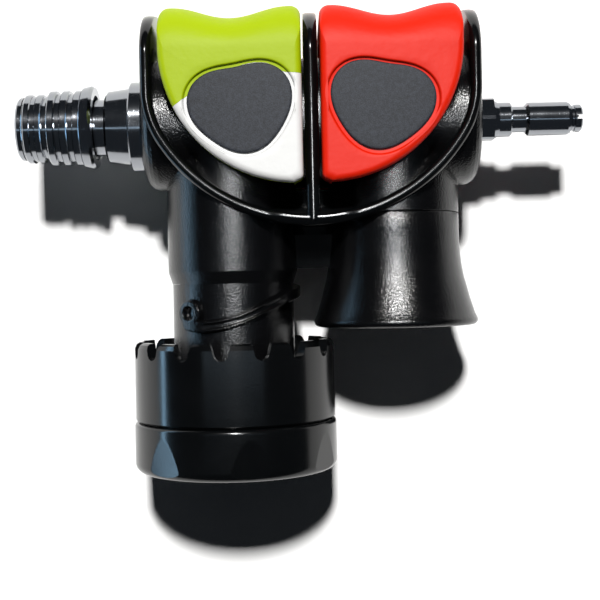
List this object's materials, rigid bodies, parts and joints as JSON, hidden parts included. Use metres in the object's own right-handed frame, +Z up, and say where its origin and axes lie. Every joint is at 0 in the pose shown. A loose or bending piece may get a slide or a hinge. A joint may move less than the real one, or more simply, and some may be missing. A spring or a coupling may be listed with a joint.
{
  "type": "diver's in-line signalling device",
  "caption": "In-line diver's signalling device: two thumb buttons send inflator air to a surface horn or an underwater striker with a turning volume cap.",
  "frame": {"origin": "centre of the bounding box at its lowest point, with the device lying on its back", "axes": "+X along the air barrel towards the inlet plug, +Y towards the thumb buttons' tops, +Z up, out of the front labels"},
  "size_m": [0.1524, 0.1226, 0.0546],
  "materials": {
    "black_plastic": "satin black with a fine leather grain",
    "lime_plastic": "satin yellow-green",
    "white_plastic": "satin white",
    "orange_plastic": "satin orange-red",
    "label_grey": "speckled dark grey",
    "chrome": "polished",
    "stainless": "turned",
    "spring_steel": "drawn wire",
    "brass": "turned",
    "seal_rubber": "matte"
  },
  "bodies": {
    "housing": {"valve_body": "black_plastic", "guard_front": "black_plastic", "guard_rear": "black_plastic", "guard_screws": "stainless", "signal_return_spring": "spring_steel", "signal_stem_guide": "brass", "signal_stem_seal": "seal_rubber", "signal_valve_seat": "brass", "signal_seat_ring": "brass", "horn_return_spring": "spring_steel", "horn_stem_guide": "brass", "horn_stem_seal": "seal_rubber", "horn_valve_seat": "brass", "horn_seat_ring": "brass", "signal_tube": "black_plastic", "cam_rib": "black_plastic", "striker_spring": "spring_steel", "striker_plate": "stainless", "plate_ring": "brass", "cap_retainer": "stainless", "horn_bell": "black_plastic", "horn_diaphragm": "stainless", "diaphragm_ring": "brass", "inlet_plug": "chrome", "inlet_seal": "seal_rubber", "inlet_filter": "brass", "outlet_adapter": "chrome", "adapter_seal": "seal_rubber", "outlet_socket": "chrome", "socket_seal": "seal_rubber", "locking_balls": "stainless", "sleeve_spring": "spring_steel", "sleeve_clip": "stainless", "poppet_spring": "spring_steel"},
    "signal_button": {"signal_button": "lime_plastic", "signal_button_panel": "white_plastic", "signal_labels": "label_grey", "signal_stem": "stainless", "signal_head_disc": "seal_rubber"},
    "horn_button": {"horn_button": "orange_plastic", "horn_labels": "label_grey", "horn_stem": "stainless", "horn_head_disc": "seal_rubber"},
    "striker": {"striker": "brass"},
    "cap_carrier": {"cap_seal": "seal_rubber"},
    "volume_cap": {"volume_cap": "black_plastic", "cam_follower": "stainless", "cap_end_ring": "black_plastic", "sound_grille": "black_plastic"},
    "outlet_sleeve": {"outlet_sleeve": "chrome"},
    "outlet_poppet": {"outlet_poppet": "brass"}
  },
  "joints": [
    {"name": "signal_button_press", "type": "slide", "parent": "housing", "child": "signal_button", "axis": [0, -1, 0], "range_m": [0, 0.0035], "stiffness_N_per_m": 1500, "springref_m": -0.004, "deforming": ["signal_return_spring"]},
    {"name": "horn_button_press", "type": "slide", "parent": "housing", "child": "horn_button", "axis": [0, -1, 0], "range_m": [0, 0.0035], "stiffness_N_per_m": 1500, "springref_m": -0.004, "deforming": ["horn_return_spring"]},
    {"name": "striker_strike", "type": "slide", "parent": "housing", "child": "striker", "axis": [0, -1, 0], "range_m": [0, 0.0022], "stiffness_N_per_m": 800, "springref_m": -0.002, "deforming": ["striker_spring"]},
    {"name": "cap_climb", "type": "slide", "parent": "housing", "child": "cap_carrier", "axis": [0, -1, 0], "range_m": [0, 0.005]},
    {"name": "volume_cap_turn", "type": "hinge", "parent": "cap_carrier", "child": "volume_cap", "pos_m": [-0.0193, -0.04315, 0.0273], "axis": [0, -1, 0], "range_deg": [0, 90]},
    {"name": "outlet_sleeve_pull", "type": "slide", "parent": "housing", "child": "outlet_sleeve", "axis": [1, 0, 0], "range_m": [0, 0.0028], "stiffness_N_per_m": 1500, "springref_m": -0.003, "deforming": ["sleeve_spring"]},
    {"name": "outlet_poppet_open", "type": "slide", "parent": "housing", "child": "outlet_poppet", "axis": [1, 0, 0], "range_m": [0, 0.002], "stiffness_N_per_m": 400, "springref_m": -0.002, "deforming": ["poppet_spring"]}
  ],
  "couplings": [
    {"joint": "cap_climb", "follows": "volume_cap_turn", "m_per_rad": 0.0031831}
  ]
}
